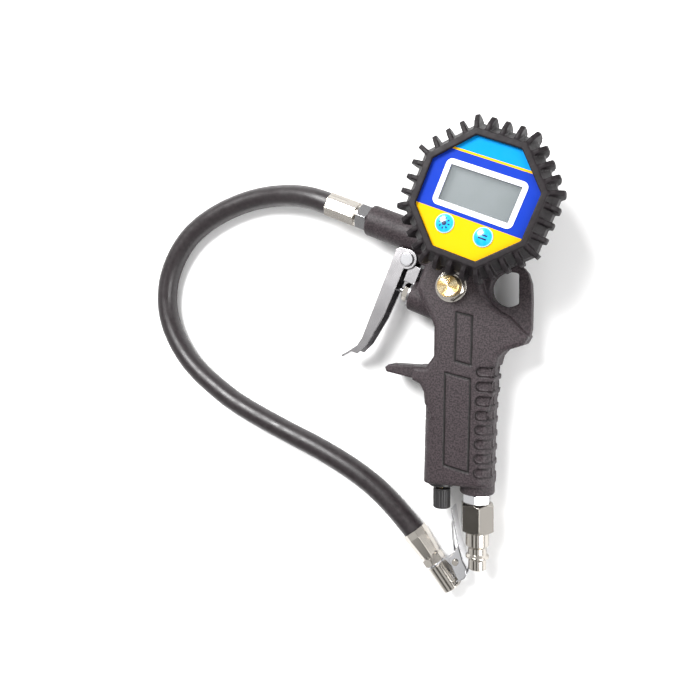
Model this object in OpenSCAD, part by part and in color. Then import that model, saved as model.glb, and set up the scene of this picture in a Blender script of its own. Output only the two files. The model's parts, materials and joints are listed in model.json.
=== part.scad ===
// Tyre inflator: a pistol-shaped air gun with a digital gauge on its side, a thumb-lever
// chuck on a rubber hose, and a quick plug under the grip. It lies on its back, gauge up.

/* [Body] */
// Lean of the barrel against the grip, degrees
tilt = 23; // [20:0.5:26]
// Half the thickness of the moulded body
half_t = 14; // [13:0.5:16]
// Diameter of the barrel
barrel_d = 18; // [17:0.5:20]
// Distance from the gauge centre down to the barrel axis
barrel_drop = 26.5; // [25:0.5:28]
// Distance from the gauge centre down to the valve axis
valve_drop = 57.2; // [56:0.2:58]
// Width of the grip
grip_w = 38.5; // [38:0.5:42]

/* [Gauge] */
// Width across the flats of the coloured face
face_af = 55.6; // [52:0.2:58]
// Height of the face above the middle plane of the body
face_z = 40.4; // [40:0.1:42]
// Width across the flats of the rubber boot's outer wall
boot_af = 71; // [69:0.5:73]
// Number of lugs along one side of the boot, counting one corner
lugs_per_side = 4; // [3:1:5]
// Width of the display window
lcd_w = 36.8; // [34:0.2:38]
// Height of the display window
lcd_h = 17.8; // [16:0.2:19]
// Radius of a push button
button_r = 4.8; // [4:0.1:5]

/* [Trigger and valves] */
// Length of the trigger below its pin
trigger_len = 66; // [60:1:68]
// Radius of the trigger pin
pin_r = 2; // [1.8:0.1:2.2]
// Radius of the valve stem
stem_r = 1.5; // [1.2:0.1:1.6]
// Radius of the brass bleed button
bleed_r = 5.9; // [5:0.1:6.2]

/* [Hose and chuck] */
// Outer diameter of the hose
hose_d = 13.2; // [12.4:0.1:13.2]
// Length of the chuck body
chuck_len = 16.2; // [15:0.1:18]
// Diameter of the chuck body
chuck_d = 12.6; // [12.2:0.1:13]
// Radius of the socket for a tyre valve
socket_r = 4.1; // [4:0.05:4.3]

/* [Air inlet] */
// Width across the flats of the plug's collar
collar_af = 17; // [16:0.5:18]
// Radius of the plug's body and ridge
plug_r = 6.5; // [6:0.1:6.8]
// Radius of the plug's nose
nose_r = 5; // [4.6:0.1:5.2]

/* [Hidden] */
$fn = 64;

// The gauge centre stands above this point of the object's frame.
gauge_x = 22.54;
gauge_y = 78.78;
eps = 0.01;
gap = 0.05;               // clearance round a threaded or fitted shank

// Places along the barrel and the valve, measured from the gauge centre.
barrel_start = -64;
boss_face = -23.3;
pivot = [-32.3, -39.7];
bleed = [-1.2, -44.3];
thread_r = 5;             // every small threaded port in the body
stem_tip = -38.9;

// Places down the grip, measured from the gauge centre.
inlet_x = -7;
body_end = -155;
grip_end = -149.2;
knob_x = -27.2;
inlet_thread_r = 6.5;

// Heights through the gauge.
case_z = 15.6;
cover_z = 36;
board_z = 31.4;
button_x = 10.2;
button_y = -15.8;

// The chuck lies along this line: its hose end from the gauge centre, its height and direction.
chuck_start = [-45.6, -182.8];
chuck_z = 7.6;
chuck_turn = -53;
ferrule_len = 17.5;
nut_len = 4.5;
bracket_t = 0.8;
chuck_z0 = ferrule_len + nut_len + bracket_t;
lever_pin = [26.8, 12.1];

// Route of the free hose, from the barrel's ferrule to the chuck's: each point's place from
// the gauge centre and how far the hose is lifted off the surface there.
hose_inner = 12;          // length of hose held inside the barrel's ferrule
chuck_inner = 2.8;        // and inside the chuck's
hose_rest = hose_d / 2 + 0.05;
hose_route = [
    [-104, 15.2, 6.8], [-115, 18.4, 5.2], [-127, 20.2, 3.2], [-140, 20.8, 1.3],
    [-153, 19.8, 0.3], [-166, 17, 0], [-178, 13, 0], [-190, 7.4, 0], [-201, 0, 0],
    [-210, -9.6, 0], [-217, -21, 0], [-221, -33, 0], [-222, -46, 0], [-219.6, -58.6, 0],
    [-214, -71, 0], [-206, -82.4, 0], [-196, -92.4, 0], [-184, -101.4, 0], [-171, -110, 0],
    [-157, -117.2, 0], [-142, -124, 0], [-126.5, -130.6, 0], [-111, -137, 0], [-96, -144, 0],
    [-82, -151.6, 0], [-69.5, -160, 0.1], [-58, -170, 0.4]
];
hose_rings_per_span = 2;   // rings between two points of the route

black = [0.13, 0.12, 0.13];
rubber = [0.09, 0.09, 0.09];
chrome = [0.78, 0.78, 0.80];
nickel = [0.68, 0.66, 0.62];
brass = [0.85, 0.70, 0.38];

// ---- frames ---------------------------------------------------------------

// Gauge centre on the body's middle plane, axes as the object's.
module at_gun() { translate([gauge_x, gauge_y, half_t]) children(); }

// The same point with X along the barrel, towards the rear.
module tilted() { at_gun() rotate([0, 0, -tilt]) children(); }

// Local Z runs rearwards along the barrel axis, or along the valve axis.
module along_barrel(x) { tilted() translate([x, -barrel_drop, 0]) rotate([0, 90, 0]) children(); }
module along_valve(x) { tilted() translate([x, -valve_drop, 0]) rotate([0, 90, 0]) children(); }

// Local Z runs straight down the grip from height y.
module down_grip(x, y) { at_gun() translate([x, y, 0]) rotate([90, 0, 0]) children(); }

// X along the chuck towards its mouth, Y towards the lever.
module at_chuck() {
    translate([gauge_x + chuck_start.x, gauge_y + chuck_start.y, chuck_z])
        rotate([0, 0, chuck_turn]) children();
}
module along_chuck(x) { at_chuck() translate([x, 0, 0]) rotate([0, 90, 0]) children(); }

// ---- shared shapes ---------------------------------------------------------

// Radius of a regular polygon's corners from its width across flats.
function corner_r(af, sides) = af / 2 / cos(180 / sides);

// Hexagonal prism with turned chamfers at both ends.
module hex_bar(af, h, chamfer = 0.8) {
    r = corner_r(af, 6);
    intersection() {
        cylinder(r = r, h = h, $fn = 6);
        rotate_extrude()
            polygon([[0, 0], [r - chamfer * 1.6, 0], [r, chamfer], [r, h - chamfer],
                     [r - chamfer * 1.6, h], [0, h]]);
    }
}

// Octagonal prism with flats square to X and Y, from z0 to z1.
module octagon(af, z0, z1) {
    translate([0, 0, z0]) rotate([0, 0, 22.5])
        linear_extrude(z1 - z0) circle(r = corner_r(af, 8), $fn = 8);
}

// Disc with a chamfered rim.
module turned(r, h, chamfer = 0.3) {
    rotate_extrude()
        polygon([[0, 0], [r - chamfer, 0], [r, chamfer], [r, h - chamfer], [r - chamfer, h], [0, h]]);
}

// Flat ring.
module ring(r_out, r_in, h) {
    difference() {
        cylinder(r = r_out, h = h);
        translate([0, 0, -eps]) cylinder(r = r_in, h = h + 2 * eps);
    }
}

// Rectangle with round corners, centred.
module round_rect(w, h, r) {
    union() {
        square([w - 2 * r, h], center = true);
        square([w, h - 2 * r], center = true);
        for (x = [-1, 1], y = [-1, 1])
            translate([x * (w / 2 - r), y * (h / 2 - r)]) circle(r = r);
    }
}

// ---- swept tubes -----------------------------------------------------------

function unit(v) = v / norm(v);

// Tangent of a route at point i.
function tangent(p, i) = unit(p[min(i + 1, len(p) - 1)] - p[max(i - 1, 0)]);

// Centripetal spline through the points of a route.
function spline_point(a, b, c, d, t) =
    0.5 * (2 * b + (c - a) * t + (2 * a - 5 * b + 4 * c - d) * t * t
           + (3 * b - a - 3 * c + d) * t * t * t);
function smooth_route(p, n) = concat(
    [for (i = [0 : len(p) - 2], k = [0 : n - 1])
        spline_point(p[max(i - 1, 0)], p[i], p[i + 1], p[min(i + 2, len(p) - 1)], k / n)],
    [p[len(p) - 1]]);

// One ring of a tube, square to the route, with its first corner towards `up`.
function ring_points(p, i, r, sides, up) =
    let (t = tangent(p, i), side = unit(cross(t, up)), top = cross(side, t))
    [for (k = [0 : sides - 1])
        p[i] + r * (cos(360 * k / sides) * side + sin(360 * k / sides) * top)];

module tube(p, r, sides, up = [0, 0, 1]) {
    n = len(p);
    points = [for (i = [0 : n - 1]) each ring_points(p, i, r, sides, up)];
    walls = [for (i = [0 : n - 2], k = [0 : sides - 1])
        [i * sides + k, i * sides + (k + 1) % sides,
         (i + 1) * sides + (k + 1) % sides, (i + 1) * sides + k]];
    ends = [[for (k = [sides - 1 : -1 : 0]) k], [for (k = [0 : sides - 1]) (n - 1) * sides + k]];
    polyhedron(points, concat(walls, ends));
}

// Coil spring standing on Z, with wire radius w.
module coil(r, h, turns, w) {
    steps = turns * 12;
    tube([for (i = [0 : steps]) [r * cos(30 * i), r * sin(30 * i), w + (h - 2 * w) * i / steps]], w, 6);
}

// ---- handle body -----------------------------------------------------------

// Point of the tilted frame, in the gun's upright frame.
function upright(x, y) = [x * cos(tilt) + y * sin(tilt), -x * sin(tilt) + y * cos(tilt)];

grip_lean = -1.7;
back_x = 4.4;             // back strap at the top of the grip
front_x = back_x - grip_w;
guard_tip = [-58.8, -85.6];

// Side outline of the thick part, from under the barrel round the grip to the rear corner.
body_outline = [
    upright(-19.5, -28), upright(-19.5, -52), upright(-4, -65.5), [-28.3, -62], [-28.6, -78],
    [-33.2, -84.2], [guard_tip.x + 2.4, guard_tip.y + 2.3], [guard_tip.x, guard_tip.y + 0.6],
    [guard_tip.x + 0.8, guard_tip.y - 2], [-41.6, -91.2], [-36.6, -93.6], [-34.4, -98], [-34, -104],
    [-30, -112], [0, -112], [back_x - 0.4, -97], [back_x + 0.4, -85], [6.2, -78.8], [9.6, -74.8],
    [19.4, -71.8], [21.6, -67.8], [16.4, -62.2], [12.4, -57.6], [7.2, -54.6], [2.4, -50.6],
    [-1, -45], [-3, -38.5], [-4, -30], [6, -22], [-6, -10], [-24, -12]
];

// Thin plate that carries the hanging eye.
eye_plate = [
    [-6, -26], [6, -26.6], [12.6, -27.6], [17.4, -30], [20.6, -34], [22.3, -39.6], [22.6, -48],
    [22.4, -64], [20.8, -70.4], [6, -74], [-10, -60]
];
eye_centre = [10.6, -42.2];
eye_r = 9.5;
eye_flat = 15.9;          // straight rear side of the eye
eye_half_t = 5.5;
cradle_r = 26;

grip_inset = 0.04;        // the grip's sides stand this far inside the body's

module grip_section() { round_rect(grip_w, 2 * (half_t - grip_inset), 9); }

grip_start = -94;

module grip() {
    difference() {
        at_gun() rotate([0, 0, grip_lean]) translate([back_x + 2.5 - grip_w / 2, grip_start, 0])
            rotate([90, 0, 0]) linear_extrude(grip_start - grip_end + 3) grip_section();
        at_gun() translate([-60, grip_end - 20, -2 * half_t]) cube([100, 20, 4 * half_t]);
    }
}

module guard_relief() {
    // The finger guard is thinner than the body.
    for (side = [-1, 1])
        at_gun() translate([-72, -100, side > 0 ? 7 : -half_t - 1])
            cube([31, 20, half_t - 6]);
}

module grip_slots() {
    // Eight slots that wrap the back strap on both sides.
    for (i = [0 : 7], side = [-1, 1])
        at_gun() rotate([0, 0, grip_lean]) translate([0, -86.2 - 7.83 * i, side * half_t])
            union() {
                cylinder(r = 2.5, h = 2.4, center = true);
                translate([6, 0, 0]) cube([12, 5, 2.4], center = true);
            }
    for (i = [0 : 7])
        at_gun() rotate([0, 0, grip_lean]) translate([back_x + 2.9, -86.2 - 7.83 * i, 0])
            cube([2.2, 5, 3 * half_t], center = true);
}

module front_grooves() {
    for (i = [0 : 4], side = [-1, 1])
        at_gun() rotate([0, 0, grip_lean])
            translate([front_x + 2.5, -106.5 - 8 * i, side * (half_t - 0.6)])
                translate([-4, 0, 0]) cube([12, 0.9, 4], center = true);
}

// Shallow groove that outlines a panel: four corners, clockwise from the top left.
module panel_groove(p) {
    for (i = [0 : 3])
        let (a = p[i], b = p[(i + 1) % 4], d = b - a)
            at_gun() translate([a.x, a.y, half_t - 0.5])
                rotate([0, 0, atan2(d.y, d.x)]) translate([-0.3, -0.3, 0])
                    cube([norm(d) + 0.6, 0.6, 1]);
}
upper_panel = [[-15.8, -54.2], [-7.2, -56.4], [-7.9, -82.6], [-16.5, -80.4]];
lower_panel = [[-21.9, -86.9], [-8.2, -90.2], [-9.5, -140.8], [-22.9, -137.6]];

module drillings() {
    // Hose port, barrel bore, gauge port and the cross drillings between them.
    along_barrel(barrel_start - eps) cylinder(r = thread_r, h = 11);
    along_barrel(barrel_start) cylinder(r = 3, h = 66);
    tilted() translate([0, -barrel_drop, 0]) rotate([-90, 0, 0]) cylinder(r = 2.5, h = barrel_drop);
    at_gun() cylinder(r = thread_r, h = half_t + 1);
    // Valve chamber, its outlet to the barrel and its inlet from the grip.
    along_valve(boss_face - eps) cylinder(r = thread_r, h = 8.3);
    along_valve(-16) cylinder(r = 4.5, h = 28);
    along_valve(10) cylinder(r = 2.8, h = 7);
    tilted() translate([-10, -valve_drop, 0]) rotate([-90, 0, 0])
        cylinder(r = 2, h = valve_drop - barrel_drop);
    down_grip(inlet_x, -57) cylinder(r = 4, h = -body_end - 56);
    down_grip(inlet_x, body_end + 12) cylinder(r = inlet_thread_r, h = 13);
    // Bleed valve and its feed.
    tilted() translate([bleed.x, bleed.y, 4]) cylinder(r = thread_r, h = half_t);
    tilted() translate([bleed.x, bleed.y, -1]) cylinder(r = 3.2, h = 6);
    tilted() translate([bleed.x, bleed.y, 0]) rotate([-90, 0, 0]) cylinder(r = 1.5, h = 17);
    // Flow needle and its cross drilling.
    down_grip(knob_x, grip_end + 9) cylinder(r = 3.5, h = 10);
    down_grip(knob_x, -120) cylinder(r = 2.2, h = -grip_end - 119);
    at_gun() translate([knob_x, -122, 0]) rotate([0, 90, 0]) cylinder(r = 2, h = inlet_x - knob_x);
    // Trigger pin.
    tilted() translate([pivot.x, pivot.y, -half_t]) cylinder(r = pin_r + gap, h = 2 * half_t);
}

module eye_hole() {
    at_gun() intersection() {
        translate([eye_centre.x, eye_centre.y, -half_t - 1]) cylinder(r = eye_r, h = 2 * half_t + 2);
        translate([eye_centre.x - 12, eye_centre.y - 12, -half_t - 1])
            cube([eye_flat - eye_centre.x + 12, 24, 2 * half_t + 2]);
    }
}

module handle_body() {
    color(black) difference() {
        union() {
            at_gun() translate([0, 0, -half_t]) linear_extrude(2 * half_t) polygon(body_outline);
            grip();
            at_gun() translate([0, 0, -eye_half_t]) linear_extrude(2 * eye_half_t) polygon(eye_plate);
            at_gun() translate([0, 0, -half_t]) cylinder(r = cradle_r, h = 2 * half_t - 0.4);
            along_barrel(barrel_start) turned(barrel_d / 2, 72, 0.8);
            along_valve(boss_face) turned(8.9, 26, 0.6);
            // Lug that carries the trigger pin, between the trigger's cheeks.
            tilted() translate([pivot.x, pivot.y, -3.2]) cylinder(r = 4.4, h = 6.4);
            tilted() translate([pivot.x - 4.4, pivot.y, -3.2]) cube([16, 8, 6.4]);
            // Round boss round the air inlet.
            down_grip(inlet_x, -140) turned(9.6, -body_end - 140, 0.8);
        }
        guard_relief();
        grip_slots();
        front_grooves();
        panel_groove(upper_panel);
        panel_groove(lower_panel);
        eye_hole();
        drillings();
    }
}

// ---- hose and its ends -------------------------------------------------------

adaptor_hex = 7;
gun_ferrule_len = 21;
ferrule_start = barrel_start - adaptor_hex;      // where the ferrule meets the adaptor
hose_exit = ferrule_start - gun_ferrule_len;
barb_r = 3;

module hose_adaptor() {
    color(chrome) along_barrel(ferrule_start) difference() {
        union() {
            hex_bar(14, adaptor_hex);
            translate([0, 0, adaptor_hex - eps]) cylinder(r = thread_r - gap, h = 9);
            translate([0, 0, -8]) cylinder(r = barb_r, h = 9);
        }
        translate([0, 0, -9]) cylinder(r = 1.8, h = 30);
    }
}

module gun_ferrule() {
    color(nickel) along_barrel(hose_exit) difference() {
        union() {
            rotate([0, 0, 22.5]) cylinder(r = 7.5, h = gun_ferrule_len - 1.5, $fn = 8);
            translate([0, 0, gun_ferrule_len - 1.5]) cylinder(r = 6.4, h = 1.5);
        }
        translate([0, 0, -eps]) cylinder(r = hose_d / 2 + 0.2, h = hose_inner + 0.2);
        translate([0, 0, 1]) cylinder(r = barb_r + gap, h = gun_ferrule_len);
    }
}

function on_barrel(x) =
    let (p = upright(x, -barrel_drop)) [gauge_x + p.x, gauge_y + p.y, half_t];
function on_chuck(x) =
    [gauge_x + chuck_start.x + x * cos(chuck_turn), gauge_y + chuck_start.y + x * sin(chuck_turn),
     chuck_z];

module hose() {
    free = [for (p = hose_route) [gauge_x + p.x, gauge_y + p.y, hose_rest + p.z]];
    route = smooth_route(concat([on_barrel(hose_exit + hose_inner), on_barrel(hose_exit)], free,
                                [on_chuck(0), on_chuck(hose_inner)]), hose_rings_per_span);
    last = len(route) - 1 - hose_rings_per_span;
    line = concat([for (i = [0 : last]) route[i]], [on_chuck(chuck_inner)]);
    color(rubber) tube(line, hose_d / 2, 12);
}

module chuck_ferrule() {
    color(nickel) along_chuck(0) difference() {
        union() {
            rotate([0, 0, 22.5]) cylinder(r = 7.55, h = 4, $fn = 8);
            translate([0, 0, 4]) rotate([0, 0, 22.5])
                cylinder(r1 = 7.55, r2 = 6.2, h = ferrule_len - 5.2, $fn = 8);
            translate([0, 0, ferrule_len - 1.2]) cylinder(r = 5.6, h = 1.2);
        }
        translate([0, 0, -eps]) cylinder(r = hose_d / 2 + 0.2, h = 3);
        translate([0, 0, 1]) cylinder(r = 1.8, h = ferrule_len);
    }
}

module chuck_nut() {
    color(nickel) along_chuck(ferrule_len) difference() {
        hex_bar(11.5, nut_len, 0.5);
        translate([0, 0, -1]) cylinder(r = 1.8, h = nut_len + 2);
    }
}

lever_flat = 5.2;         // flat of the chuck body on the lever side
claw_slot = 12.4;         // place of the claw's slot, from the body's hose end
socket_floor = chuck_len - 9;
seal_r = 4.6;             // the seal sits in a groove wider than the socket
seal_t = 2.4;

module chuck_body() {
    color(nickel) along_chuck(chuck_z0) difference() {
        turned(chuck_d / 2, chuck_len, 0.5);
        translate([-10, lever_flat, -1]) cube([20, 5, chuck_len + 2]);
        translate([0, 0, socket_floor]) cylinder(r = seal_r, h = seal_t);
        translate([0, 0, socket_floor]) cylinder(r = socket_r, h = 10);
        translate([0, 0, -1]) cylinder(r = 1.8, h = chuck_len);
        translate([-5.2, 2.6, claw_slot]) cube([10.4, 5, 2.4]);
    }
}

module chuck_seal() {
    color(rubber) along_chuck(chuck_z0 + socket_floor) ring(seal_r - gap, 2.2, seal_t - gap);
}

module core_depressor() {
    color(brass) along_chuck(chuck_z0 + socket_floor - 4) union() {
        cylinder(r = 1.8 - gap, h = 4);
        cylinder(r = 1.1, h = 4 + seal_t);
    }
}

// Sheet bracket clamped behind the chuck body: a washer, a bent tab and two ears.
ear_z = 3.2;
ear_t = 0.8;
module clip_bracket() {
    color(chrome) union() {
        along_chuck(ferrule_len + nut_len) ring(6.2, 1.8, bracket_t);
        at_chuck() translate([ferrule_len + nut_len, 5.2, -ear_z - ear_t])
            cube([bracket_t, 9, 2 * (ear_z + ear_t)]);
        for (side = [-1, 1])
            at_chuck() translate([0, 0, side > 0 ? ear_z : -ear_z - ear_t]) difference() {
                linear_extrude(ear_t) polygon([[22, 7.4], [28.6, 8.6], [29.4, 11.6], [28.4, 14],
                                               [22, 14.2]]);
                translate([lever_pin.x, lever_pin.y, -1]) cylinder(r = 1.1 + gap, h = 3);
            }
    }
}

cheek_z = 4.4;
cheek_t = 0.9;
plate_half = cheek_z + cheek_t - 0.05;  // the plate's edges stand just inside the cheeks
thumb_path = [[33, 15.2], [29, 15.7], [24.4, 17.3], [17.7, 20.2], [7.2, 25.2], [0.8, 28.7]];
module clip_lever() {
    color(chrome) difference() {
        union() {
            for (side = [-1, 1])
                at_chuck() translate([0, 0, side > 0 ? cheek_z : -cheek_z - cheek_t])
                    linear_extrude(cheek_t)
                        polygon([[23.6, 9.6], [26.8, 9], [34, 7.4], [37, 7.2], [37.2, 11], [36.2, 13],
                                 [32.6, 15.4], [29, 15.9], [20.4, 19.1]]);
            // Thumb plate, one flat strip between each two points of its path.
            for (i = [0 : len(thumb_path) - 2])
                let (a = thumb_path[i], d = thumb_path[i + 1] - a)
                    at_chuck() translate([a.x, a.y, -plate_half])
                        rotate([0, 0, atan2(d.y, d.x)])
                            translate([-0.1, -0.9, 0]) cube([norm(d) + 0.2, 0.9, 2 * plate_half]);
            // Claw, bent in behind the mouth.
            at_chuck() translate([36.1, 4.9, -3.6]) cube([0.9, 7.4, 7.2]);
            at_chuck() translate([36.1, 7.8, -plate_half]) cube([0.9, 4.6, 2 * plate_half]);
        }
        at_chuck() translate([lever_pin.x, lever_pin.y, -8]) cylinder(r = 1.1 + gap, h = 16);
    }
}

module clip_pin() {
    color(nickel) at_chuck() translate([lever_pin.x, lever_pin.y, -6.4]) union() {
        translate([0, 0, 0]) cylinder(r = 1.1, h = 12.8);
        translate([0, 0, -0.1]) cylinder(r = 1.8, h = 0.8);
        translate([0, 0, 12.1]) cylinder(r = 1.8, h = 0.8);
    }
}

// Leaf that pushes the thumb plate away from the hose.
module clip_spring() {
    leaf = [[22.8, 14.2], [22.8, 14.6], [21.5, 14.6], [15, 18.4], [8, 23], [7.8, 22.7],
            [14.8, 18], [21.4, 14.2]];
    color(nickel) at_chuck() translate([0, 0, -1.8]) linear_extrude(3.6) polygon(leaf);
}

// ---- trigger -----------------------------------------------------------------

cheek_in = 5;             // inner face of a trigger cheek
trigger_t = 1.2;
web_x = -8.2;             // front face of the web, from the pin

// Web of the trigger from its top to its curled tip, measured from the pin.
trigger_web = [[web_x, 3], [web_x, -52], [web_x - 1.2, -57], [web_x - 4.8, -62], [web_x - 8, -trigger_len]];

module trigger_cheek() {
    difference() {
        union() {
            cylinder(r = 5.5, h = trigger_t);
            linear_extrude(trigger_t)
                polygon([[0, 5.4], [web_x + 2, 5], [web_x, 3], [web_x, -52], [web_x - 1.2, -57],
                         [web_x - 4.4, -61.6], [-7.4, -61.4], [-4, -54], [-1, -36], [-0.2, -16], [0, -5]]);
        }
        translate([0, 0, -1]) cylinder(r = pin_r + gap, h = 4);
    }
}

module trigger_lever() {
    half_w = cheek_in + trigger_t;
    color(chrome) tilted() translate([pivot.x, pivot.y, 0]) union() {
        translate([0, 0, cheek_in]) trigger_cheek();
        translate([0, 0, -half_w]) trigger_cheek();
        for (i = [0 : len(trigger_web) - 2])
            let (a = trigger_web[i], d = trigger_web[i + 1] - a)
                translate([a.x, a.y, -half_w]) rotate([0, 0, atan2(d.y, d.x)])
                    cube([norm(d) + 0.2, trigger_t, 2 * half_w]);
    }
}

module trigger_pin() {
    color(chrome) tilted() translate([pivot.x, pivot.y, -8.2]) union() {
        cylinder(r = pin_r, h = 15);
        translate([0, 0, 14.6]) turned(3.9, 1.3, 0.4);
    }
}

module pin_clip() {
    color(nickel) tilted() translate([pivot.x, pivot.y, -7.2]) difference() {
        cylinder(r = 3.6, h = 0.7);
        translate([0, 0, -1]) cylinder(r = pin_r + gap, h = 3);
        translate([0, -1.2, -1]) cube([5, 2.4, 3]);
    }
}

stop_t = 1.2;
// Stamped stop plate held by the gland nut, with two ears beside the trigger's lug.
module trigger_stop() {
    color(chrome) union() {
        along_valve(boss_face - stop_t) difference() {
            union() {
                cylinder(r = 7.6, h = stop_t);
                translate([-4.8, 0, 0]) cube([9.6, 15.4, stop_t]);
            }
            translate([0, 0, -1]) cylinder(r = thread_r, h = 4);
        }
        for (side = [-1, 1])
            tilted() translate([boss_face, -valve_drop, side > 0 ? 3.8 : -4.8])
                translate([-6.8, 5.6, 0]) cube([6.8, 9.8, 1]);
    }
}

module gland_nut() {
    nut = 4;
    color(nickel) along_valve(boss_face - stop_t - nut) difference() {
        union() {
            rotate([0, 0, 30]) hex_bar(9.6, nut, 0.5);
            translate([0, 0, nut - eps]) cylinder(r = thread_r - gap, h = 8.4);
        }
        translate([0, 0, -1]) cylinder(r = stem_r + gap, h = 20);
        translate([0, 0, nut + 5.6]) cylinder(r = 3, h = 4);
    }
}

poppet_at = 0.6;          // sealing face of the poppet along the valve axis
module valve_stem() {
    color(chrome) along_valve(0) union() {
        translate([0, 0, stem_tip + stem_r]) cylinder(r = stem_r, h = poppet_at - stem_tip - stem_r);
        translate([0, 0, stem_tip + stem_r]) sphere(r = stem_r);
        translate([0, 0, poppet_at]) turned(3.6, 2.6);
    }
}

module valve_spring() {
    color(chrome) along_valve(poppet_at + 2.7) coil(3, 8.6, 5, 0.4);
}

module valve_seat() {
    color(brass) along_valve(poppet_at - 3.6) ring(4.5 - gap, 2.4, 3.5);
}

module stem_seal() {
    color(rubber) along_valve(boss_face - stop_t + 5.7) ring(3 - gap, stem_r + gap, 2.4);
}

// ---- bleed valve ---------------------------------------------------------------

module at_bleed(z) { tilted() translate([bleed.x, bleed.y, z]) children(); }
bleed_stem_r = 2;

module bleed_washer() { color(nickel) at_bleed(half_t) ring(8.5, thread_r, 0.8); }

module bleed_gland() {
    color(nickel) at_bleed(half_t + 0.8) difference() {
        union() {
            hex_bar(14, 3.2);
            translate([0, 0, -9.8]) cylinder(r = thread_r - gap, h = 10);
        }
        translate([0, 0, -11]) cylinder(r = bleed_stem_r + gap, h = 20);
        translate([0, 0, -5]) cylinder(r = 3.8, h = 10);
    }
}

module bleed_button() {
    color(brass) at_bleed(0) union() {
        translate([0, 0, 19.4]) turned(bleed_r, 3, 0.5);
        translate([0, 0, 2.6]) cylinder(r = bleed_stem_r, h = 17);
        translate([0, 0, 2.6]) turned(2.9, 1.4);
    }
}

module bleed_spring() { color(chrome) at_bleed(9.9) coil(3, 9.4, 5, 0.4); }

// ---- gauge ---------------------------------------------------------------------

module gauge_stem() {
    color(brass) at_gun() difference() {
        union() {
            translate([0, 0, 1]) cylinder(r = thread_r - gap, h = half_t);
            translate([0, 0, half_t + 0.8]) cylinder(r = 8, h = 0.75);
            translate([0, 0, half_t]) cylinder(r = thread_r - gap, h = 6.6);
        }
        cylinder(r = 1.5, h = 30);
    }
}

module port_seal() { color(rubber) at_gun() translate([0, 0, half_t - 0.4]) ring(7.4, thread_r, 1.2); }

module stem_nut() {
    color(brass) at_gun() translate([0, 0, case_z + 2]) difference() {
        hex_bar(14, 3, 0.5);
        translate([0, 0, -1]) cylinder(r = thread_r, h = 6);
    }
}

module pressure_sensor() {
    color(nickel) at_gun() translate([0, 0, case_z + 5.1]) union() {
        cylinder(r = 6.2, h = 4.6);
        translate([0, 0, 4.6]) cylinder(r = 3, h = 1.2);
    }
}

case_af = 61.6;
screw_at = 27.5;
module screw_places() {
    for (a = [45 : 90 : 315]) rotate([0, 0, a]) translate([screw_at, 0, 0]) children();
}

module gauge_case() {
    color(black) tilted() difference() {
        union() {
            difference() {
                octagon(case_af, case_z, cover_z);
                octagon(case_af - 4, case_z + 2, cover_z + 1);
            }
            screw_places() translate([0, 0, case_z + 1]) cylinder(r = 2.6, h = cover_z - case_z - 1.2);
        }
        translate([0, 0, case_z - 1]) cylinder(r = thread_r, h = 4);
        screw_places() translate([0, 0, case_z - 1]) cylinder(r = 1.3, h = 24);
        screw_places() translate([0, 0, case_z - 1]) cylinder(r = 2.1, h = 2.8);
    }
}

module button_places() {
    for (x = [-button_x, button_x]) translate([x, button_y, 0]) children();
}

lcd_at = [0.2, 3];
module case_cover() {
    color(black) tilted() difference() {
        octagon(case_af, cover_z, face_z - 1);
        translate([lcd_at.x, lcd_at.y, cover_z - 1]) linear_extrude(6) square([lcd_w, lcd_h], center = true);
        button_places() translate([0, 0, cover_z - 1]) cylinder(r = button_r + 0.1, h = 6);
        screw_places() translate([0, 0, cover_z - 1]) cylinder(r = 1.1, h = 3);
    }
}

module case_screws() {
    color(chrome) tilted() screw_places() union() {
        translate([0, 0, case_z]) cylinder(r = 2, h = 1.6);
        translate([0, 0, case_z + 1]) cylinder(r = 1, h = cover_z - case_z);
    }
}

module face_plate() {
    color([0.1, 0.3, 0.8]) tilted() difference() {
        octagon(case_af - 0.6, face_z - 1, face_z);
        translate([lcd_at.x, lcd_at.y, face_z - 2]) linear_extrude(4) square([lcd_w, lcd_h], center = true);
        button_places() translate([0, 0, face_z - 2]) cylinder(r = button_r + 0.1, h = 4);
    }
}

lcd_border = 2.6;
module lcd_frame() {
    color("white") tilted() translate([lcd_at.x, lcd_at.y, face_z]) linear_extrude(0.35) difference() {
        round_rect(lcd_w + 2 * lcd_border, lcd_h + 2 * lcd_border, 3);
        square([lcd_w, lcd_h], center = true);
    }
}

module lcd_window() {
    color([0.75, 0.8, 0.8, 0.5]) tilted() translate([lcd_at.x, lcd_at.y, face_z - 1.4])
        linear_extrude(1.2) square([lcd_w - 0.1, lcd_h - 0.1], center = true);
}

module lcd_module() {
    color([0.55, 0.6, 0.58]) tilted() translate([lcd_at.x, lcd_at.y, board_z + 2])
        linear_extrude(cover_z - board_z - 2.1) square([lcd_w + 3.2, lcd_h + 2.4], center = true);
}

// A push button: a dome on a straight stalk, with a flange under the cover.
module push_button(x) {
    straight = face_z + 0.5;
    dome = 1.1;
    ball = (button_r * button_r + dome * dome) / (2 * dome);
    color([0.1, 0.65, 0.9]) tilted() translate([x, button_y, 0]) union() {
        translate([0, 0, cover_z - 0.9]) cylinder(r = 5.6, h = 0.8);
        translate([0, 0, cover_z - 0.9]) cylinder(r = button_r, h = straight - cover_z + 0.9);
        intersection() {
            translate([0, 0, straight + dome - ball]) sphere(r = ball);
            translate([0, 0, straight - 0.1]) cylinder(r = button_r, h = 2);
        }
    }
}
module light_button() { push_button(-button_x); }
module unit_button() { push_button(button_x); }

module button_switches() {
    color(nickel) tilted() button_places() union() {
        translate([-3, -3, board_z + 1.6]) cube([6, 6, 0.8]);
        translate([0, 0, board_z + 2.3]) cylinder(r = 1.6, h = 0.6);
    }
}

module circuit_board() {
    color([0.1, 0.35, 0.2]) tilted() translate([0, 0, board_z]) cylinder(r = 24.4, h = 1.6);
}

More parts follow.
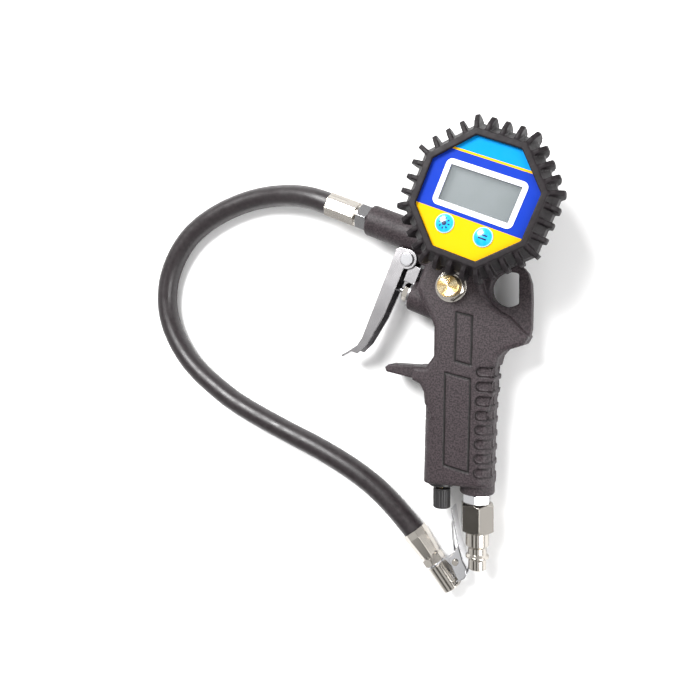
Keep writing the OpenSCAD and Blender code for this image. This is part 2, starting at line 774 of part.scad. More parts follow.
module battery() {
    color(chrome) tilted() translate([0, 15, board_z - 3.6]) turned(9.8, 3.4, 0.3);
}

// Octagonal rubber boot: a plain rear wall, an outer band, a sloped shoulder up to the front
// ring, and a lug at each corner and between.
boot_back = 14.3;
boot_top = 42.8;
band_z = [23, 33.5];
lug_w = 2.5;

ring_af = face_af + 6.4;  // front ring
module boot_lug(reach) {
    rotate([90, 0, 0]) translate([0, 0, -lug_w / 2]) linear_extrude(lug_w)
        polygon([[reach - 6.2, 38], [reach - 5.4, boot_top - 0.3], [reach - 1, boot_top - 0.6],
                 [reach + 2.6, boot_top - 3.2], [reach + 3.2, boot_top - 4.8], [reach + 3.2, band_z[1] - 0.5],
                 [reach + 2.4, band_z[0] + 4.5], [reach + 0.4, band_z[0] + 2], [reach - 2, band_z[0] + 1]]);
}

module boot_lugs() {
    side_len = boot_af * tan(22.5);
    reach = boot_af / 2;
    pitch = side_len / lugs_per_side;
    for (k = [0 : 7]) {
        rotate([0, 0, 45 * k + 22.5]) boot_lug(corner_r(boot_af, 8) - 0.6);
        for (i = [1 : lugs_per_side - 1])
            rotate([0, 0, 45 * k]) translate([0, -side_len / 2 + i * pitch, 0]) boot_lug(reach);
    }
}

module rubber_boot() {
    color(rubber) tilted() difference() {
        union() {
            octagon(boot_af - 2, boot_back, band_z[0]);
            octagon(boot_af, band_z[0], band_z[1]);
            translate([0, 0, band_z[1]]) rotate([0, 0, 22.5])
                cylinder(r1 = corner_r(boot_af, 8), r2 = corner_r(ring_af, 8),
                         h = boot_top - 0.4 - band_z[1], $fn = 8);
            octagon(ring_af, boot_top - 1.3, boot_top);
            boot_lugs();
        }
        octagon(case_af + 0.3, case_z - 0.3, face_z + 0.1);
        octagon(face_af, face_z, boot_top + 1);
        translate([0, 0, boot_back - 1]) cylinder(r = 27, h = 4);
    }
}

// ---- air inlet and flow control ---------------------------------------------------

nipple_hex = 5.2;
module inlet_nipple() {
    color(chrome) down_grip(inlet_x, body_end) difference() {
        union() {
            rotate([0, 0, 90]) hex_bar(14, nipple_hex, 0.5);
            translate([0, 0, -11]) cylinder(r = inlet_thread_r - gap, h = 12);
            translate([0, 0, nipple_hex - eps]) cylinder(r = 5.6 - gap, h = 8);
        }
        translate([0, 0, -12]) cylinder(r = 3.4, h = 30);
        translate([0, 0, -12]) cylinder(r = 4.4, h = 3.4);
    }
}

module inlet_filter() {
    color(brass) down_grip(inlet_x, body_end + 11) difference() {
        cylinder(r = 4.3, h = 2.2);
        translate([0, 0, 0.6]) cylinder(r = 3.4, h = 3);
    }
}

collar_len = 16.6;
module quick_plug() {
    color(nickel) down_grip(inlet_x, body_end - nipple_hex) difference() {
        union() {
            rotate([0, 0, 14]) hex_bar(collar_af, collar_len, 1.3);
            translate([0, 0, collar_len - eps]) rotate_extrude()
                polygon([[0, 0], [plug_r, 0], [plug_r, 7.6], [plug_r - 0.8, 8.4], [plug_r - 1.3, 9.2],
                         [plug_r - 1.3, 12.4], [plug_r, 13.6], [plug_r, 14.6], [plug_r - 1.4, 15.6],
                         [nose_r, 16], [nose_r, 21], [nose_r - 0.9, 21.8], [0, 21.8]]);
        }
        translate([0, 0, -1]) cylinder(r = 5.6, h = 10);
        translate([0, 0, -1]) cylinder(r = 3, h = 60);
    }
}

knob_top = grip_end - 4.4;
knob_len = 11.6;
needle_r = 1.5;
needle_start = 124;       // depths below the gauge centre
needle_end = 9 - knob_top;
module flow_gland() {
    color(black) down_grip(knob_x, grip_end) difference() {
        union() {
            turned(7.4, 3, 0.5);
            translate([0, 0, -8.5]) cylinder(r = 3.5 - gap, h = 9);
            translate([0, 0, 2.9]) cylinder(r = 3.2, h = 1.1);
        }
        translate([0, 0, -10]) cylinder(r = needle_r + gap, h = 20);
    }
}

module flow_needle() {
    color(brass) down_grip(knob_x, -needle_start) union() {
        cylinder(r1 = 0.3, r2 = needle_r, h = 3);
        translate([0, 0, 3 - eps]) cylinder(r = needle_r, h = needle_end - needle_start - 3);
    }
}

module flow_knob() {
    ribs = 16;
    color(black) down_grip(knob_x, knob_top) difference() {
        turned(4.9, knob_len, 0.5);
        translate([0, 0, -1]) cylinder(r = 3.6, h = 3);
        translate([0, 0, -1]) cylinder(r = needle_r + gap, h = 10.6);
        for (i = [0 : ribs - 1])
            rotate([0, 0, 360 / ribs * i]) translate([5.1, 0, 1]) cylinder(r = 0.5, h = knob_len);
    }
}

// ---- the assembly -------------------------------------------------------------------

handle_body();
hose_adaptor();
gun_ferrule();
hose();
chuck_ferrule();
chuck_nut();
chuck_body();
chuck_seal();
core_depressor();
clip_bracket();
clip_lever();
clip_pin();
clip_spring();
trigger_lever();
trigger_pin();
pin_clip();
trigger_stop();
gland_nut();
valve_stem();
valve_spring();
valve_seat();
stem_seal();
bleed_washer();
bleed_gland();
bleed_button();
bleed_spring();
gauge_stem();
port_seal();
stem_nut();
pressure_sensor();
gauge_case();
case_cover();
case_screws();
rubber_boot();
face_plate();
lcd_frame();
lcd_window();
lcd_module();
light_button();
unit_button();
button_switches();
circuit_board();
battery();
inlet_nipple();
inlet_filter();
quick_plug();
flow_gland();
flow_needle();
flow_knob();
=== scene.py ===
"""Looks of a pistol-shaped tyre inflator with a digital gauge, its hose and its clip-on chuck.

The moulded body, the boot, the knob and the thumb lever are remeshed finely so that their edges
can be rounded. The other parts keep their CAD shapes and get plated, turned, glossy or rubber
finishes. The hose is one smooth tube. Scene units are metres, in the frame of the CAD model, and
the sizes written here are in millimetres unless they are multiplied by MM.
"""

import json
import math

import bpy
from mathutils import Matrix, Vector
from mathutils.bvhtree import BVHTree

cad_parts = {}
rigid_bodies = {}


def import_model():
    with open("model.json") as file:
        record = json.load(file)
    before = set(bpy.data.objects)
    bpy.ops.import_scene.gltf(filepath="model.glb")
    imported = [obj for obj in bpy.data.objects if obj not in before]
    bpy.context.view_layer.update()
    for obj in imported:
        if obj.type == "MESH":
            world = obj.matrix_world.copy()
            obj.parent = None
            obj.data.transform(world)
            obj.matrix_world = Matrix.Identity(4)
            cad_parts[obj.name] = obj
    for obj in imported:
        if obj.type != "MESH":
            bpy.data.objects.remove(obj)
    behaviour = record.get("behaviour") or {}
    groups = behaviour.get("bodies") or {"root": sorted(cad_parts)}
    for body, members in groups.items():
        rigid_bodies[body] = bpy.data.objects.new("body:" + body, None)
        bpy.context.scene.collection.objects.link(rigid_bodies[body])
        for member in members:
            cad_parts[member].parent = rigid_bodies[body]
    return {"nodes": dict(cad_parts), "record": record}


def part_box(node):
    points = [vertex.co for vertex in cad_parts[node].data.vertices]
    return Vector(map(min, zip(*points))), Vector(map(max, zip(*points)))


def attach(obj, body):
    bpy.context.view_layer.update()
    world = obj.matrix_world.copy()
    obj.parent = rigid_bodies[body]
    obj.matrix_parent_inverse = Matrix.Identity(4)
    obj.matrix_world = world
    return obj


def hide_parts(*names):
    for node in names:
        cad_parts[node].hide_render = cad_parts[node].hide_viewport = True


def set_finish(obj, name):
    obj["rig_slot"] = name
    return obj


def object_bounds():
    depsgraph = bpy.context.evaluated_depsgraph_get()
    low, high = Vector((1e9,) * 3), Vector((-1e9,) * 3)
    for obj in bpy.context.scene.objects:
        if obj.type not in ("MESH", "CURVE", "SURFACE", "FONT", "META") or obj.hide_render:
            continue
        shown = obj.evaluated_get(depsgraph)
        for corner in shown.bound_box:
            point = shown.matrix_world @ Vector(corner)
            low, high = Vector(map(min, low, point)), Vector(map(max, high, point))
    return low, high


MM = 0.001
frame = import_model()
cad_low, cad_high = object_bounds()
NODES = frame["nodes"]
BODY_OF = {node: body for body, nodes in frame["record"]["behaviour"]["bodies"].items() for node in nodes}
SLOT_OF = {part["node"]: part["material_slot"] for part in frame["record"]["subparts"]}


def centre(node):
    low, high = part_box(node)
    return (low + high) / 2


# ---- places -----------------------------------------------------------------

TILT = math.radians(23)  # how far the barrel and the face lean from the X axis
GAUGE = Vector((*centre("pressure_sensor").xy, centre("handle_body").z))
BARREL_DROP = 26.5
HOSE_EXIT = -92
CHUCK_START = (-45.6, -182.8)
CHUCK_Z = 7.6
CHUCK_TURN = math.radians(-53)
GRIP_LEAN = math.radians(-1.7)


def at_gun(x, y, z=0.0):
    """A point given in millimetres from the gauge centre on the body's middle plane."""
    return GAUGE + Vector((x, y, z)) * MM


def on_barrel(x):
    """A point of the barrel's axis, x millimetres rearwards of the gauge."""
    return at_gun(
        x * math.cos(TILT) - BARREL_DROP * math.sin(TILT),
        -x * math.sin(TILT) - BARREL_DROP * math.cos(TILT),
    )


def on_chuck(x):
    """A point of the chuck's axis, x millimetres from its hose end."""
    place = at_gun(CHUCK_START[0] + x * math.cos(CHUCK_TURN), CHUCK_START[1] + x * math.sin(CHUCK_TURN))
    place.z = CHUCK_Z * MM
    return place


# ---- camera -------------------------------------------------------------------

CAMERA_PLACE = (56.69, -57.59, 344.11)
CAMERA_BACK = (0.3758, 0.0490, 0.9254)
CAMERA_UP = (-0.0097, 0.9988, -0.0490)
CAMERA_LENS = 31.89


def make_camera():
    """The camera stands above the tool, level with its grip, and looks a little to the left."""
    back = Vector(CAMERA_BACK).normalized()
    right = Vector(CAMERA_UP).cross(back).normalized()
    axes = Matrix((right, back.cross(right), back)).transposed().to_4x4()
    data = bpy.data.cameras.new("camera")
    data.lens = CAMERA_LENS
    data.clip_start = 0.01
    camera = bpy.data.objects.new("camera", data)
    bpy.context.collection.objects.link(camera)
    camera.matrix_world = Matrix.Translation(at_gun(*CAMERA_PLACE)) @ axes
    bpy.context.scene.camera = camera
    bpy.context.scene.view_settings.view_transform = "Standard"


make_camera()

# ---- hose ---------------------------------------------------------------------

HOSE_D = 13.2 * MM
HOSE_GAP = 0.05  # how far the hose stays off the surface

# The hose's route: each point's place from the gauge centre and its lift off the surface, mm.
HOSE_ROUTE = [
    (-104, 15.2, 6.8), (-115, 18.4, 5.2), (-127, 20.2, 3.2), (-140, 20.8, 1.3),
    (-153, 19.8, 0.3), (-166, 17, 0), (-178, 13, 0), (-190, 7.4, 0), (-201, 0, 0),
    (-210, -9.6, 0), (-217, -21, 0), (-221, -33, 0), (-222, -46, 0), (-219.6, -58.6, 0),
    (-214, -71, 0), (-206, -82.4, 0), (-196, -92.4, 0), (-184, -101.4, 0), (-171, -110, 0),
    (-157, -117.2, 0), (-142, -124, 0), (-126.5, -130.6, 0), (-111, -137, 0), (-96, -144, 0),
    (-82, -151.6, 0), (-69.5, -160, 0.1), (-58, -170, 0.4),
]
HOSE_IN_FERRULE = 12
HOSE_IN_CHUCK = 2.8
HOSE_STEPS = 5


def spline(points, steps):
    """The same smooth line that the CAD hose follows, with `steps` points to each span."""
    line = []
    last = len(points) - 1
    for i in range(last):
        a, b, c, d = (points[min(max(i + k, 0), last)] for k in (-1, 0, 1, 2))
        for k in range(steps):
            t = k / steps
            line.append(0.5 * (2 * b + (c - a) * t + (2 * a - 5 * b + 4 * c - d) * t * t
                               + (3 * b - a - 3 * c + d) * t * t * t))
    return line


def new_object(name, data):
    obj = bpy.data.objects.new(name, data)
    bpy.context.collection.objects.link(obj)
    return obj


def make_hose():
    """The hose as a mesh tube, and the line that it follows."""
    free = []
    for x, y, lift in HOSE_ROUTE:
        point = at_gun(x, y)
        point.z = HOSE_D / 2 + (lift + HOSE_GAP) * MM
        free.append(point)
    ends = [on_barrel(HOSE_EXIT + HOSE_IN_FERRULE), on_barrel(HOSE_EXIT)]
    line = spline(ends + free + [on_chuck(0), on_chuck(HOSE_IN_FERRULE)], HOSE_STEPS)
    line = line[: len(line) - HOSE_STEPS + 1] + [on_chuck(HOSE_IN_CHUCK)]
    curve = bpy.data.curves.new("hose_line", "CURVE")
    curve.dimensions = "3D"
    curve.bevel_depth = HOSE_D / 2
    curve.bevel_resolution = 10
    curve.use_fill_caps = True
    path = curve.splines.new("POLY")
    path.points.add(len(line) - 1)
    for point, place in zip(path.points, line):
        point.co = (*place, 1)
    tube = new_object("hose_line", curve)
    shown = tube.evaluated_get(bpy.context.evaluated_depsgraph_get())
    hose = new_object("hose_skin", bpy.data.meshes.new_from_object(shown))
    bpy.data.objects.remove(tube)
    return hose, line


hose, hose_line = make_hose()

# ---- mesh helpers ---------------------------------------------------------------

PAINTED_SHADE = "painted_shade"  # painted shade: how much a point of the moulded body is darkened, 0 to 1, most deep in a panel line and along a recess's edge
PROBE_DEPTH = 1.9  # below a flat face, where its outline is looked for
SAME_LEVEL = 1.2  # points this near a face's height belong to it
ON_WALL = 0.3  # points this near a wall belong to it
SLACK = 0.5  # how far past a flat face its own points may lie
SOFT_EDGE = 0.6  # over this distance a recess reaches its full depth
FAR = 1000  # the distance given for a place well away from any recess


def baked(obj):
    """Turns an object's modifiers into plain geometry."""
    shown = obj.evaluated_get(bpy.context.evaluated_depsgraph_get())
    obj.data = bpy.data.meshes.new_from_object(shown)
    obj.modifiers.clear()


def stand_in(obj, node):
    """The object takes a CAD node's place: its body, its material slot and its visibility."""
    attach(obj, BODY_OF[node])
    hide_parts(node)
    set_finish(obj, SLOT_OF[node])
    return obj


def remeshed(name, node, voxel):
    """A copy of a CAD node made of small even faces."""
    obj = new_object(name, NODES[node].data.copy())
    remesh = obj.modifiers.new("remesh", "REMESH")
    remesh.mode = "VOXEL"
    remesh.voxel_size = voxel
    baked(obj)
    return stand_in(obj, node)


def relax(obj, passes):
    """Rounds every edge by a little, then shades the mesh smooth."""
    smooth = obj.modifiers.new("smooth", "SMOOTH")
    smooth.factor = 0.5
    smooth.iterations = passes
    baked(obj)
    obj.data.shade_smooth()


def softened(name, node, voxel, passes):
    """A remeshed copy of a CAD node, relaxed. Its small faces are `voxel` millimetres across."""
    obj = remeshed(name, node, voxel * MM)
    relax(obj, passes)
    return obj


def upright_walls(node, z):
    """The CAD node's walls that stand square to the floor at height z."""
    mesh = NODES[node].data
    corners = [v.co.copy() for v in mesh.vertices]
    mesh.calc_loop_triangles()
    walls = []
    for tri in mesh.loop_triangles:
        heights = [corners[i].z for i in tri.vertices]
        if abs(tri.normal.z) < 0.1 and min(heights) < z < max(heights):
            walls.append(tuple(tri.vertices))
    return BVHTree.FromPolygons(corners, walls)


def round_rim(obj, node, level, up, radius):
    """Rounds the edge between the node's flat face at height `level` and its upright walls."""
    probe = level - up * PROBE_DEPTH * MM
    walls = upright_walls(node, probe)

    def drop(distance):
        near = max(radius - distance, 0)
        return radius - math.sqrt(radius * radius - near * near)

    for vertex in obj.data.vertices:
        depth = up * (level - vertex.co.z)
        if depth > radius or depth < -SLACK * MM:
            continue
        place, normal, _, distance = walls.find_nearest(Vector((*vertex.co.xy, probe)), radius)
        if place is None:
            continue
        if distance < ON_WALL * MM and depth > ON_WALL * MM:
            vertex.co -= normal * drop(depth)
        else:
            vertex.co.z -= up * drop(distance)


def painted_shade_of(obj):
    return obj.data.attributes.get(PAINTED_SHADE) or obj.data.attributes.new(PAINTED_SHADE, "FLOAT", "POINT")


def carve(obj, corners, level, width, depth):
    """Presses a fine groove into a flat face, along the closed outline through the corners, and marks the
    groove for painted shade.
    """
    sides = [(a, b) for a, b in zip(corners, corners[1:] + corners[:1])]
    painted_shade = painted_shade_of(obj)
    for vertex in obj.data.vertices:
        if abs(vertex.co.z - level) > SAME_LEVEL * MM:
            continue
        point = vertex.co.xy
        gap = min(distance_to_segment(point, a, b) for a, b in sides)
        if gap < width:
            vertex.co.z -= depth * (1 - (gap / width) ** 2)
            # painted shade: the groove's middle is marked to be painted darker
            painted_shade.data[vertex.index].value = 1 - (gap / width) ** 4


def press(obj, outline, depth):
    """Sinks the surface by `depth` where outline(place) is below 0, and marks the recess's edge for painted
    shade.

    outline gives a place's distance to the recess's edge in millimetres, below 0 inside it.
    """
    painted_shade = painted_shade_of(obj)
    moves = []
    for vertex in obj.data.vertices:
        gap = outline(vertex.co)
        if gap < 0:
            moves.append((vertex, vertex.normal * min(-gap / SOFT_EDGE, 1) * depth))
        if abs(gap) < SOFT_EDGE:
            # painted shade: a dark band along the recess's edge
            painted_shade.data[vertex.index].value = max(painted_shade.data[vertex.index].value, 0.8 - abs(gap))
    for vertex, move in moves:
        vertex.co -= move


def distance_to_segment(point, a, b):
    along = b - a
    t = max(0, min(1, (point - a).dot(along) / along.length_squared))
    return (point - a - along * t).length


# ---- materials ------------------------------------------------------------------

# painted shade: the colour that the moulded body's panel lines and recess edges are darkened towards
SHADE_BLACK = (0.003, 0.002, 0.002)
PAINTED_GLINTS = 4  # painted highlights: bright wedges in the turned brass's colour
RINGS_PER_MM = 4.775  # turning marks on it
BUTTON_RIM = (4.2, 4.8)  # the radii between which a button turns pale

# The colour bands of the gauge face: the height above its middle where each one starts.
BLUE_FROM, STRIPE_FROM, CYAN_FROM = -10.5, 18.9, 20.0


class Finish:
    """A Principled material with its nodes at hand. Textures use the object's own coordinates."""

    def __init__(self, name, colour, roughness, metallic=0.0, **sockets):
        self.material = bpy.data.materials.new(name)
        self.material.use_nodes = True
        self.nodes = self.material.node_tree.nodes
        self.shader = self.nodes["Principled BSDF"]
        self.normal = None
        self.shader.inputs["Base Color"].default_value = (*colour, 1)
        self.shader.inputs["Roughness"].default_value = roughness
        self.shader.inputs["Metallic"].default_value = metallic
        for socket, value in sockets.items():
            self.shader.inputs[socket.replace("_", " ")].default_value = value

    def link(self, output, socket):
        self.material.node_tree.links.new(output, socket)

    def node(self, kind, **settings):
        made = self.nodes.new(kind)
        for setting, value in settings.items():
            setattr(made, setting, value)
        return made

    def place(self, origin=(0, 0, 0), turn=0.0, stretch=(1, 1, 1)):
        """Object coordinates about an origin, turned about Z and stretched, in millimetres."""
        mapping = self.node("ShaderNodeMapping", vector_type="TEXTURE")
        mapping.inputs["Location"].default_value = origin
        mapping.inputs["Rotation"].default_value = (0, 0, turn)
        mapping.inputs["Scale"].default_value = [MM * s for s in stretch]
        self.link(self.node("ShaderNodeTexCoord").outputs["Object"], mapping.inputs["Vector"])
        return mapping.outputs["Vector"]

    def noise(self, size, detail=2.0, **place):
        """Noise with features of about `size` millimetres."""
        noise = self.node("ShaderNodeTexNoise")
        noise.inputs["Scale"].default_value = 1 / size
        noise.inputs["Detail"].default_value = detail
        self.link(self.place(**place), noise.inputs["Vector"])
        return noise.outputs["Fac"]

    def math(self, operation, a, b=0.0, c=0.0):
        made = self.node("ShaderNodeMath", operation=operation)
        for socket, value in zip(made.inputs, (a, b, c)):
            if isinstance(value, (int, float)):
                socket.default_value = value
            else:
                self.link(value, socket)
        return made.outputs[0]

    def ranged(self, value, low, high, start=0.3, end=0.7):
        ramp = self.node("ShaderNodeMapRange")
        ramp.inputs["From Min"].default_value = start
        ramp.inputs["From Max"].default_value = end
        ramp.inputs["To Min"].default_value = low
        ramp.inputs["To Max"].default_value = high
        self.link(value, ramp.inputs["Value"])
        return ramp.outputs["Result"]

    def across(self, place):
        """The X and Y of a place."""
        split = self.node("ShaderNodeSeparateXYZ")
        self.link(place, split.inputs["Vector"])
        return split.outputs["X"], split.outputs["Y"]

    def length(self, x, y):
        return self.math("SQRT", self.math("ADD", self.math("POWER", x, 2), self.math("POWER", y, 2)))

    def vary_roughness(self, size, low, high, **place):
        self.link(self.ranged(self.noise(size, **place), low, high), self.shader.inputs["Roughness"])
        return self

    def mix(self, share, a, b):
        """Colour a where share is 0 and b where it is 1."""
        mix = self.node("ShaderNodeMix", data_type="RGBA")
        self.link(share, mix.inputs["Factor"])
        for socket, colour in ((mix.inputs["A"], a), (mix.inputs["B"], b)):
            if isinstance(colour, tuple):
                socket.default_value = (*colour, 1)
            else:
                self.link(colour, socket)
        return mix.outputs["Result"]

    def vary_colour(self, size, a, b, start=0.35, end=0.65, painted_shade=False, **place):
        share = self.ranged(self.noise(size, **place), 0, 1, start, end)
        colour = self.mix(share, a, b)
        # painted shade: where the mask is set, the colour darkens towards black
        if painted_shade:
            pressed = self.node("ShaderNodeAttribute", attribute_name=PAINTED_SHADE)
            colour = self.mix(pressed.outputs["Fac"], colour, SHADE_BLACK)
        self.link(colour, self.shader.inputs["Base Color"])
        return self

    def soften(self, radius):
        """Shades sharp edges as if they were rounded."""
        bevel = self.node("ShaderNodeBevel", samples=6)
        bevel.inputs["Radius"].default_value = radius * MM
        self.normal = bevel.outputs["Normal"]
        self.link(self.normal, self.shader.inputs["Normal"])
        return self

    def bump(self, height, depth):
        """Raises the surface by up to `depth` millimetres where height is 1."""
        bump = self.node("ShaderNodeBump")
        bump.inputs["Distance"].default_value = depth * MM
        self.link(height, bump.inputs["Height"])
        if self.normal:
            self.link(self.normal, bump.inputs["Normal"])
        self.normal = bump.outputs["Normal"]
        self.link(self.normal, self.shader.inputs["Normal"])
        return self


def moulded_black():
    """Warm black nylon with a coarse spark texture, and painted shade in its panel lines and along its
    recesses.
    """
    finish = Finish("moulded_black", (0.03, 0.024, 0.026), 0.5, Specular_IOR_Level=0.35)
    # painted shade in the panel lines and at the recess edges
    finish.vary_colour(0.9, (0.016, 0.011, 0.013), (0.044, 0.032, 0.036), 0.4, 0.6, painted_shade=True)
    finish.vary_roughness(9, 0.46, 0.6)
    return finish.bump(finish.noise(0.6, 3), 0.14)


def smooth_black(name="smooth_black", roughness=0.42):
    finish = Finish(name, (0.016, 0.015, 0.016), roughness)
    finish.soften(0.3)
    finish.vary_roughness(4, roughness - 0.06, roughness + 0.08)
    return finish.bump(finish.noise(0.3), 0.03)


def rubber_finish(name, colour, roughness, shine=0.5):
    """Rubber with a dusty, uneven sheen."""
    finish = Finish(name, colour, roughness, Specular_IOR_Level=shine)
    lighter = tuple(1.7 * c for c in colour)
    finish.vary_colour(2.2, colour, lighter, 0.35, 0.7)
    finish.vary_roughness(6, roughness - 0.07, roughness + 0.1)
    return finish.bump(finish.noise(0.5, 3), 0.05)


def plated(name, colour, roughness, edge=0.3):
    """Plated metal with faint wear and fine scratches."""
    finish = Finish(name, colour, roughness, 1.0)
    finish.soften(edge)
    finish.vary_roughness(7, roughness * 0.92, roughness * 1.15)
    scratches = finish.noise(0.35, 2, stretch=(1, 9, 1), turn=0.5)
    return finish.bump(scratches, 0.002)


def turned_brass():
    """Brass faced on a lathe: fine rings in its bump, and painted highlights in its colour, bright wedges
    where the rings would catch the light.
    """
    middle = centre("bleed_button")
    finish = Finish("turned_brass", (0.86, 0.66, 0.33), 0.24, 1.0)
    finish.soften(0.25)
    place = finish.place(origin=(middle.x, middle.y, 0))
    wedges = finish.node("ShaderNodeTexGradient", gradient_type="RADIAL")
    finish.link(place, wedges.inputs["Vector"])
    # painted highlight: the colour turns pale in wedges around the button's middle and darker between them
    wave = finish.math("SINE", finish.math("MULTIPLY", wedges.outputs["Fac"], PAINTED_GLINTS * math.tau))
    pale = finish.ranged(wave, 0, 1, -0.9, 0.9)
    finish.link(finish.mix(pale, (0.72, 0.5, 0.2), (1.0, 0.84, 0.52)), finish.shader.inputs["Base Color"])
    rings = finish.math("MULTIPLY", finish.length(*finish.across(place)), RINGS_PER_MM * math.tau)
    return finish.bump(finish.math("SINE", rings), 0.012)


def printed_face():
    """The gauge face: cyan over blue over yellow, with a thin yellow stripe."""
    finish = Finish("printed_face", (0.0, 0.1, 0.6), 0.6, Specular_IOR_Level=0.08)
    _, height = finish.across(finish.place(origin=(GAUGE.x, GAUGE.y, 0), turn=-TILT))
    cyan, blue, yellow = (0.0, 0.24, 0.62), (0.006, 0.035, 0.36), (0.74, 0.4, 0.0)
    colour = finish.mix(finish.math("GREATER_THAN", height, BLUE_FROM), yellow, blue)
    colour = finish.mix(finish.math("GREATER_THAN", height, STRIPE_FROM), colour, yellow)
    colour = finish.mix(finish.math("GREATER_THAN", height, CYAN_FROM), colour, cyan)
    finish.link(colour, finish.shader.inputs["Base Color"])
    finish.vary_roughness(5, 0.55, 0.68)
    return finish


def display_grey():
    finish = Finish("display_grey", (0.2, 0.22, 0.22), 0.35)
    return finish.vary_colour(14, (0.15, 0.175, 0.18), (0.21, 0.235, 0.245))


def clear_window():
    finish = Finish("clear_window", (0.3, 0.33, 0.34), 0.08, IOR=1.45, Alpha=0.3)
    finish.vary_roughness(6, 0.05, 0.14)
    return finish


def button_blue(node, sign):
    """A glossy blue dome with a pale rim and a small dark sign printed on it."""
    middle = centre(node)
    finish = Finish(node, (0.0, 0.42, 0.8), 0.25, Coat_Weight=0.5, Coat_Roughness=0.08)
    x, y = finish.across(finish.place(origin=(middle.x, middle.y, 0), turn=-TILT))
    radius = finish.length(x, y)
    blue = finish.mix(finish.ranged(finish.noise(4), 0, 1), (0.0, 0.33, 0.76), (0.01, 0.42, 0.88))
    blue = finish.mix(finish.ranged(radius, 0, 0.75, *BUTTON_RIM), blue, (0.75, 0.85, 0.95))
    printed = finish.mix(sign(finish, x, y, radius), blue, (0.01, 0.02, 0.08))
    finish.link(printed, finish.shader.inputs["Base Color"])
    return finish


def sun(finish, x, y, radius):
    """A disc with eight rays."""
    turn = finish.math("ARCTAN2", y, x)
    ray = finish.math("GREATER_THAN", finish.math("COSINE", finish.math("MULTIPLY", turn, 8)), 0.35)
    ring = finish.math("COMPARE", radius, 2.35, 0.55)
    return finish.math("MAXIMUM", finish.math("LESS_THAN", radius, 1.2), finish.math("MULTIPLY", ray, ring))


def two_bars(finish, x, y, radius):
    """Two bars, one above the other, for swapping between two scales."""
    bars = finish.math("COMPARE", finish.math("ABSOLUTE", y), 0.85, 0.4)
    return finish.math("MULTIPLY", bars, finish.math("LESS_THAN", finish.math("ABSOLUTE", x), 2.1))


FINISHES = {
    "body_plastic": moulded_black(),
    "case_plastic": smooth_black(),
    "knob_plastic": smooth_black("knob_black", 0.38),
    "boot_rubber": rubber_finish("boot_rubber", (0.008, 0.006, 0.007), 0.5, 0.2),
    "hose_rubber": rubber_finish("hose_rubber", (0.012, 0.009, 0.01), 0.36),
    "seal_rubber": rubber_finish("seal_rubber", (0.02, 0.02, 0.02), 0.6),
    "trigger_chrome": plated("satin_chrome", (0.4, 0.39, 0.4), 0.24),
    "bright_chrome": plated("bright_chrome", (0.66, 0.66, 0.68), 0.17),
    "nickel": plated("nickel", (0.5, 0.47, 0.43), 0.16),
    "spring_steel": plated("spring_steel", (0.6, 0.6, 0.6), 0.3, 0.1),
    "brass": turned_brass(),
    "face_label": printed_face(),
    "white_print": Finish("white_print", (0.86, 0.86, 0.88), 0.3).vary_roughness(4, 0.24, 0.36),
    "display": display_grey(),
    "window": clear_window(),
    "button_blue": button_blue("light_button", sun),
    "board": Finish("solder_mask", (0.02, 0.16, 0.06), 0.4).vary_roughness(3, 0.3, 0.5),
}


def dress(obj, slot):
    obj.data.materials.clear()
    obj.data.materials.append(FINISHES[slot].material)


# ---- pieces with a shape of their own ------------------------------------------------

RIM_RADIUS = 2.6
PANEL_WIDTH, PANEL_DEPTH = 0.75, 0.5
UPPER_PANEL = [(-15.8, -54.2), (-7.2, -56.4), (-7.9, -82.6), (-16.5, -80.4)]
LOWER_PANEL = [(-21.9, -86.9), (-8.2, -90.2), (-9.5, -140.8), (-22.9, -137.6)]

# The grip's recesses, in its own leaning axes. They stay clear of the core that the air runs in.
SLOTS, SLOT_TOP, SLOT_PITCH, SLOT_RADIUS, SLOT_DEPTH = 8, -86.2, 7.83, 2.5, 0.7
GROOVES, GROOVE_TOP, GROOVE_PITCH, GROOVE_HALF_WIDTH, GROOVE_DEPTH = 5, -106.5, 8, 0.55, 0.5
GROOVE_END = -29.6
CORE = 6  # measured from the body's middle plane


def in_grip(place):
    """A place in the grip's own leaning axes, in millimetres from the gauge centre."""
    away = (place - GAUGE) / MM
    away.rotate(Matrix.Rotation(-GRIP_LEAN, 3, "Z"))
    return away


def back_slots(place):
    """The edges of the eight round-ended slots that wrap the back strap."""
    x, y, z = in_grip(place)
    row = round((SLOT_TOP - y) / SLOT_PITCH)
    if x < -SLOT_RADIUS - SOFT_EDGE or not 0 <= row < SLOTS or abs(z) < CORE:
        return FAR
    return math.hypot(y - SLOT_TOP + SLOT_PITCH * row, min(x, 0)) - SLOT_RADIUS


def front_grooves(place):
    """The edges of the five short grooves across the grip's front edge."""
    x, y, z = in_grip(place)
    row = round((GROOVE_TOP - y) / GROOVE_PITCH)
    if x > GROOVE_END or not 0 <= row < GROOVES or abs(z) < CORE:
        return FAR
    return abs(y - GROOVE_TOP + GROOVE_PITCH * row) - GROOVE_HALF_WIDTH


def make_body():
    """The moulded body, with its rims rounded and its panel lines and grip recesses pressed in."""
    body = remeshed("body_shell", "handle_body", 0.45 * MM)
    low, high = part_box("handle_body")
    for level, up in ((high.z, 1), (low.z, -1)):
        round_rim(body, "handle_body", level, up, RIM_RADIUS * MM)
    relax(body, 5)
    for panel in (UPPER_PANEL, LOWER_PANEL):
        corners = [at_gun(x, y).xy for x, y in panel]
        carve(body, corners, high.z, PANEL_WIDTH * MM, PANEL_DEPTH * MM)
    press(body, back_slots, SLOT_DEPTH * MM)
    press(body, front_grooves, GROOVE_DEPTH * MM)


make_body()
softened("boot_skin", "rubber_boot", 0.4, 6)
softened("knob_grip", "flow_knob", 0.16, 3)
lever = softened("thumb_lever", "clip_lever", 0.2, 3)

stand_in(hose, "hose")

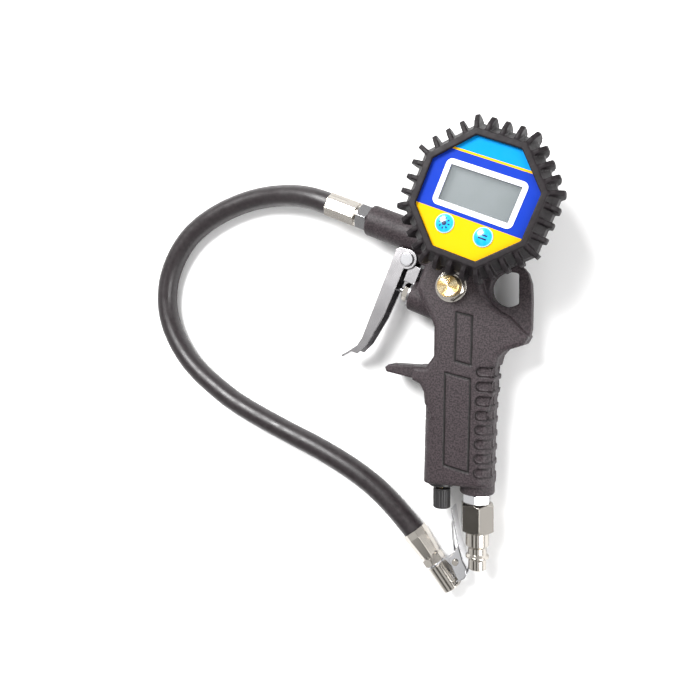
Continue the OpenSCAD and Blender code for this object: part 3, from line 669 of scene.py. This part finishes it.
for obj in bpy.data.objects:
    if obj.get("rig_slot"):
        dress(obj, obj["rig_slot"])
for node, slot in SLOT_OF.items():
    dress(NODES[node], slot)
unit_finish = button_blue("unit_button", two_bars)
NODES["unit_button"].data.materials[0] = unit_finish.material

# ---- stage ----------------------------------------------------------------------------

FLOOR_SIZE = 6
PANELS_FROM, PANELS_FULL = 0.3, 0.5  # how high in the sky, as a sine, the ceiling panels fade in


def make_floor():
    bpy.ops.mesh.primitive_plane_add(size=FLOOR_SIZE)
    floor = bpy.context.object
    floor.name = "floor"
    finish = Finish("pale_floor", (0.93, 0.93, 0.93), 0.8)
    floor.data.materials.append(finish.material)


def make_light(name, power, size, place, target):
    data = bpy.data.lights.new(name, "AREA")
    data.energy = power
    data.size = size
    light = bpy.data.objects.new(name, data)
    bpy.context.collection.objects.link(light)
    light.location = place
    light.rotation_euler = (target - Vector(place)).to_track_quat("-Z", "Y").to_euler()


def make_studio():
    """A plain pale room whose ceiling has soft white panels with darker gaps, for the metals to mirror."""
    world = bpy.data.worlds.new("studio")
    world.use_nodes = True
    nodes, links = world.node_tree.nodes, world.node_tree.links
    wave = nodes.new("ShaderNodeTexWave")
    wave.bands_direction = "X"
    wave.inputs["Scale"].default_value = 0.55
    wave.inputs["Distortion"].default_value = 1.5
    wave.inputs["Detail"].default_value = 0
    direction = nodes.new("ShaderNodeTexCoord").outputs["Generated"]
    links.new(direction, wave.inputs["Vector"])
    ramp = nodes.new("ShaderNodeValToRGB")
    ramp.color_ramp.elements[0].position = 0.42
    ramp.color_ramp.elements[0].color = (0.13, 0.125, 0.12, 1)
    ramp.color_ramp.elements[1].position = 0.66
    ramp.color_ramp.elements[1].color = (1, 1, 1, 1)
    links.new(wave.outputs["Fac"], ramp.inputs["Fac"])
    split = nodes.new("ShaderNodeSeparateXYZ")
    links.new(direction, split.inputs["Vector"])
    ceiling = nodes.new("ShaderNodeMapRange")
    ceiling.inputs["From Min"].default_value = PANELS_FROM
    ceiling.inputs["From Max"].default_value = PANELS_FULL
    links.new(split.outputs["Z"], ceiling.inputs["Value"])
    room = nodes.new("ShaderNodeMix")
    room.data_type = "RGBA"
    room.inputs["A"].default_value = (0.95, 0.95, 0.95, 1)
    links.new(ceiling.outputs["Result"], room.inputs["Factor"])
    links.new(ramp.outputs["Color"], room.inputs["B"])
    links.new(room.outputs["Result"], nodes["Background"].inputs["Color"])
    nodes["Background"].inputs["Strength"].default_value = 0.9
    bpy.context.scene.world = world


make_floor()
middle = (cad_low + cad_high) / 2
make_light("key", power=15, size=0.42, place=(-0.3, 0.5, 0.75), target=middle)
make_light("fill", power=7, size=0.6, place=(0.75, -0.2, 0.6), target=middle)
make_studio()
